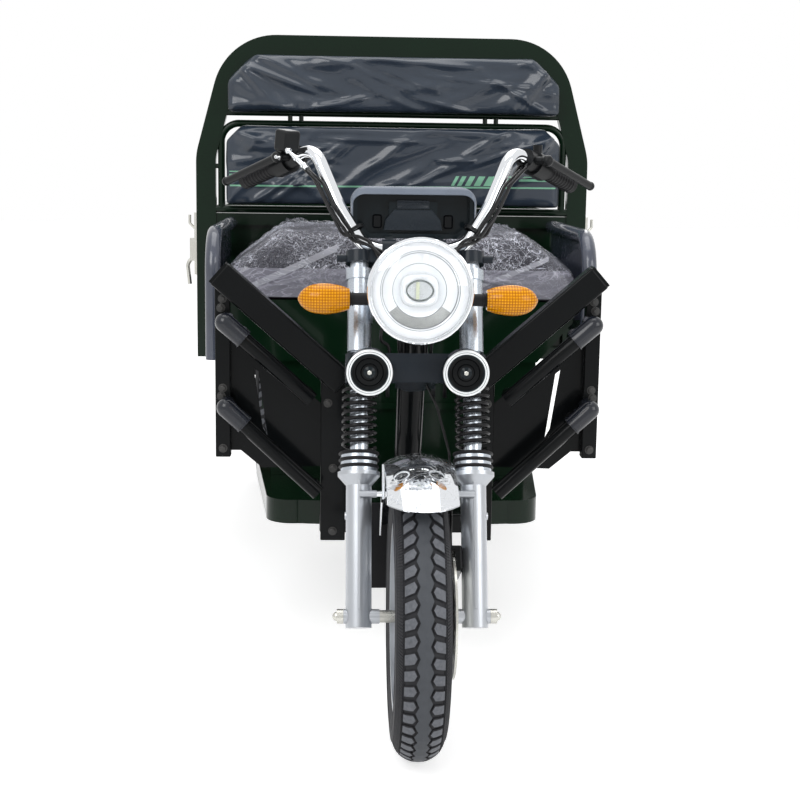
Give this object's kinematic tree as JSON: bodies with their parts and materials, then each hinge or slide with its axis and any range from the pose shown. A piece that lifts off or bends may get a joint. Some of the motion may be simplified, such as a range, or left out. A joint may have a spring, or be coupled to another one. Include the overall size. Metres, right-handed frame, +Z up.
{
  "type": "electric cargo tricycle",
  "caption": "Open electric cargo tricycle with a bench seat, padded backrest hoop, tubular leg guards, telescopic fork and a drop-side cargo box.",
  "frame": {"origin": "on the ground, at mid-length and mid-width", "axes": "+X to the right seen from the front, +Y rearwards, +Z up"},
  "size_m": [1.0582, 3.112, 1.35],
  "materials": {
    "green_paint": "gloss dark green",
    "black_paint": "gloss black",
    "box_paint": "gloss dark green",
    "chrome": "bright plated",
    "cast_alloy": "satin silver",
    "zinc_steel": "bright zinc",
    "spring_steel": "black",
    "tyre_rubber": "matt",
    "black_rubber": "matt",
    "black_plastic": "moulded",
    "gloss_plastic": "moulded",
    "seat_fabric": "mottled plush under clear film",
    "pad_vinyl": "dark blue-grey vinyl under clear film",
    "clear_lens": "clear",
    "amber_lens": "amber",
    "red_lens": "red",
    "grey_block": "plain"
  },
  "bodies": {
    "chassis": {"main_frame": "black_paint", "rear_frame": "black_paint", "footboard": "green_paint", "brake_pedal": "black_rubber", "leg_guard": "black_paint", "guard_tubes": "black_paint", "seat_base": "green_paint", "battery_pack": "grey_block", "seat_cushion": "seat_fabric", "armrests": "black_paint", "backrest_hoop": "green_paint", "backrest_pads": "pad_vinyl", "cargo_bed": "box_paint", "cargo_front_wall": "box_paint", "box_latches": "zinc_steel", "leaf_springs": "spring_steel", "rear_axle": "black_paint", "drive_motor": "cast_alloy", "tail_lamps": "red_lens", "mud_flaps": "black_rubber"},
    "steering": {"fork_legs": "cast_alloy", "fork_tubes": "chrome", "fork_springs": "spring_steel", "fork_covers": "chrome", "fork_bridges": "black_paint", "handlebar": "chrome", "grips": "black_rubber", "hand_controls": "black_plastic", "instrument_hood": "gloss_plastic", "headlamp_shell": "chrome", "headlamp_lens": "clear_lens", "signal_lenses": "amber_lens", "signal_stalks": "black_rubber", "horns": "gloss_plastic", "front_fender": "chrome", "front_mud_flap": "black_rubber", "front_axle": "zinc_steel", "brake_caliper": "black_paint", "control_cables": "black_rubber"},
    "front_wheel": {"front_tyre": "tyre_rubber", "front_rim": "cast_alloy", "brake_disc": "zinc_steel"},
    "rear_wheel_right": {"rear_tyre_right": "tyre_rubber", "rear_rim_right": "cast_alloy"},
    "rear_wheel_left": {"rear_tyre_left": "tyre_rubber", "rear_rim_left": "cast_alloy"},
    "gate_right": {"side_gate_right": "box_paint"},
    "gate_left": {"side_gate_left": "box_paint"},
    "gate_tail": {"tailgate": "box_paint"}
  },
  "joints": [
    {"name": "steering_hinge", "type": "hinge", "parent": "chassis", "child": "steering", "pos_m": [0, -1.27052, 0.23638], "axis": [0, 0.3584, 0.9336], "range_deg": [-40, 40]},
    {"name": "front_wheel_spin", "type": "hinge", "parent": "steering", "child": "front_wheel", "pos_m": [0, -1.306, 0.25], "axis": [1, 0, 0], "continuous": true},
    {"name": "gate_right_hinge", "type": "hinge", "parent": "chassis", "child": "gate_right", "pos_m": [0.506, 0.764, 0.6], "axis": [0, 1, 0], "range_deg": [0, 170]},
    {"name": "gate_left_hinge", "type": "hinge", "parent": "chassis", "child": "gate_left", "pos_m": [-0.506, 0.764, 0.6], "axis": [0, -1, 0], "range_deg": [0, 170]},
    {"name": "tailgate_hinge", "type": "hinge", "parent": "chassis", "child": "gate_tail", "pos_m": [0, 1.55, 0.6], "axis": [-1, 0, 0], "range_deg": [0, 170]},
    {"name": "rear_wheel_right_spin", "type": "hinge", "parent": "chassis", "child": "rear_wheel_right", "pos_m": [0.34, 0.824, 0.25], "axis": [1, 0, 0], "continuous": true},
    {"name": "rear_wheel_left_spin", "type": "hinge", "parent": "chassis", "child": "rear_wheel_left", "pos_m": [-0.34, 0.824, 0.25], "axis": [1, 0, 0], "continuous": true}
  ]
}
